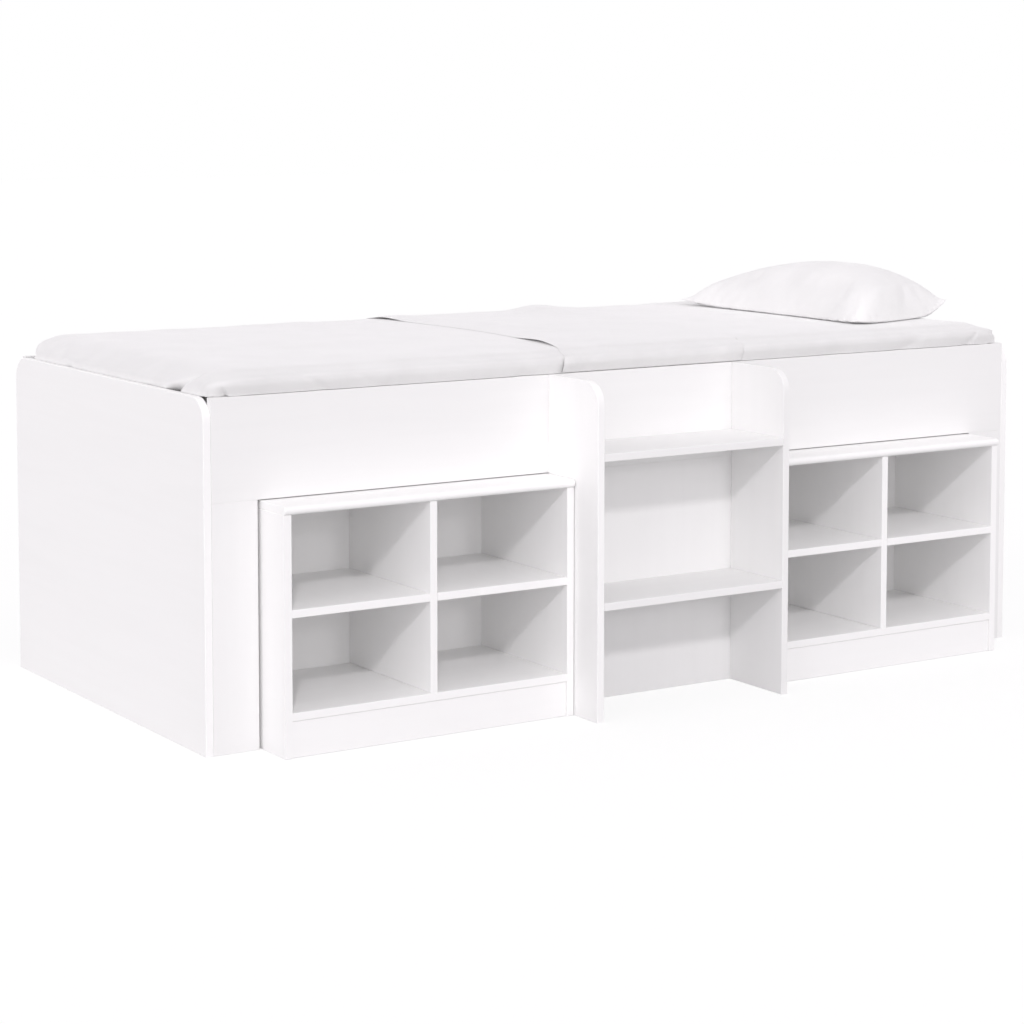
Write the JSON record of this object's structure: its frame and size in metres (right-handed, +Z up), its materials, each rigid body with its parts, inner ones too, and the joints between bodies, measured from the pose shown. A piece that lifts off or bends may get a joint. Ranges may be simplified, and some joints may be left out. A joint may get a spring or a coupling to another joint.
{
  "type": "loft bed with shelves",
  "caption": "Low loft bed for a child: a slatted bed on high panels, a step unit in the middle of the front and open bookcases that slide in under it",
  "frame": {"origin": "on the floor, under the middle of the outline, bookcases pushed in", "axes": "+X along the bed towards the pillow, +Y from the front with the steps to the back, +Z up"},
  "size_m": [2.05, 1.116, 0.8567],
  "materials": {
    "white_board": "white paint, satin, with a faint grain",
    "back_board": "white painted hardboard",
    "slat_pine": "bare planed pine",
    "bracket_steel": "zinc plated",
    "mattress_cover": "white cotton fitted sheet over a foam mattress",
    "throw_cloth": "white cotton, matt",
    "pillow_cloth": "white cotton, matt"
  },
  "bodies": {
    "bed": {"end_panel_left": "white_board", "end_panel_right": "white_board", "front_rail": "white_board", "front_leg_left": "white_board", "front_leg_right": "white_board", "back_rail": "white_board", "back_leg_left": "white_board", "back_leg_right": "white_board", "step_back_panel": "white_board", "slat_ledge_front": "slat_pine", "slat_ledge_back": "slat_pine", "slat_1": "slat_pine", "slat_2": "slat_pine", "slat_3": "slat_pine", "slat_4": "slat_pine", "slat_5": "slat_pine", "slat_6": "slat_pine", "slat_7": "slat_pine", "slat_8": "slat_pine", "slat_9": "slat_pine", "slat_10": "slat_pine", "slat_11": "slat_pine", "slat_12": "slat_pine", "slat_13": "slat_pine", "slat_14": "slat_pine", "corner_bracket_front_left": "bracket_steel", "corner_bracket_front_right": "bracket_steel", "corner_bracket_back_right": "bracket_steel", "corner_bracket_back_left": "bracket_steel", "step_side_left": "white_board", "step_side_right": "white_board", "lower_step": "white_board", "upper_step": "white_board", "mattress": "mattress_cover", "throw": "throw_cloth", "pillow": "pillow_cloth"},
    "bookcase_left": {"bookcase_left_side_left": "white_board", "bookcase_left_side_right": "white_board", "bookcase_left_top": "white_board", "bookcase_left_floor": "white_board", "bookcase_left_plinth": "white_board", "bookcase_left_divider": "white_board", "bookcase_left_shelf_left": "white_board", "bookcase_left_shelf_right": "white_board", "bookcase_left_back": "back_board"},
    "bookcase_right": {"bookcase_right_side_left": "white_board", "bookcase_right_side_right": "white_board", "bookcase_right_top": "white_board", "bookcase_right_floor": "white_board", "bookcase_right_plinth": "white_board", "bookcase_right_divider": "white_board", "bookcase_right_shelf_left": "white_board", "bookcase_right_shelf_right": "white_board", "bookcase_right_back": "back_board"}
  },
  "joints": [
    {"name": "bookcase_left_slide", "type": "slide", "parent": "bed", "child": "bookcase_left", "axis": [0, -1, 0], "range_m": [0, 0.24]},
    {"name": "bookcase_right_slide", "type": "slide", "parent": "bed", "child": "bookcase_right", "axis": [0, -1, 0], "range_m": [0, 0.24]}
  ]
}
